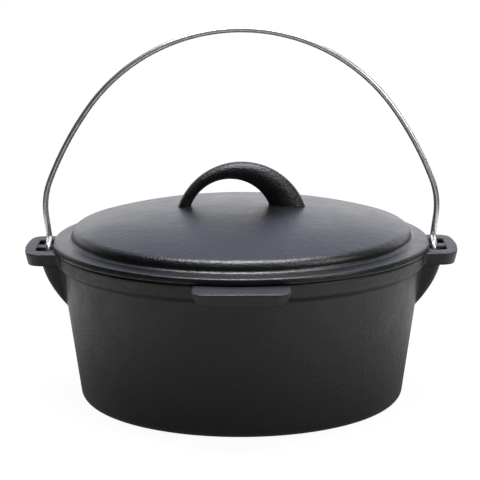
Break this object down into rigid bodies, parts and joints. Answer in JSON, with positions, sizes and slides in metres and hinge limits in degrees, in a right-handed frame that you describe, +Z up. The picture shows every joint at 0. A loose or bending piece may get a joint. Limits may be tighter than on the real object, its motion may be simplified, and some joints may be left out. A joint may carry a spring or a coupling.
{
  "type": "cast iron camp pot",
  "caption": "Round flat-based cast iron pot with side ears and lifting pads, a domed lift-off lid with a loop handle, and a swinging steel wire bail.",
  "frame": {"origin": "on the pot's vertical axis, at the flat face it stands on", "axes": "+Z up along the pot's axis; the ears and the bail's ends lie along X; -Y is the front, where the picture was taken from"},
  "size_m": [0.2986, 0.3014, 0.2568],
  "materials": {
    "pot": "seasoned black sand-cast iron",
    "lid": "seasoned black sand-cast iron, slightly glossier",
    "bail": "bright zinc-plated round steel wire"
  },
  "bodies": {
    "pot": {"pot": "pot"},
    "lid": {"lid": "lid"},
    "bail": {"bail": "bail"}
  },
  "joints": [
    {"name": "lid_lift", "type": "slide", "parent": "pot", "child": "lid", "axis": [0, 0, 1], "range_m": [0, 0.035]},
    {"name": "bail_hinge", "type": "hinge", "parent": "pot", "child": "bail", "pos_m": [0, 0, 0.0987], "axis": [1, 0, 0], "range_deg": [-20, 95]}
  ]
}
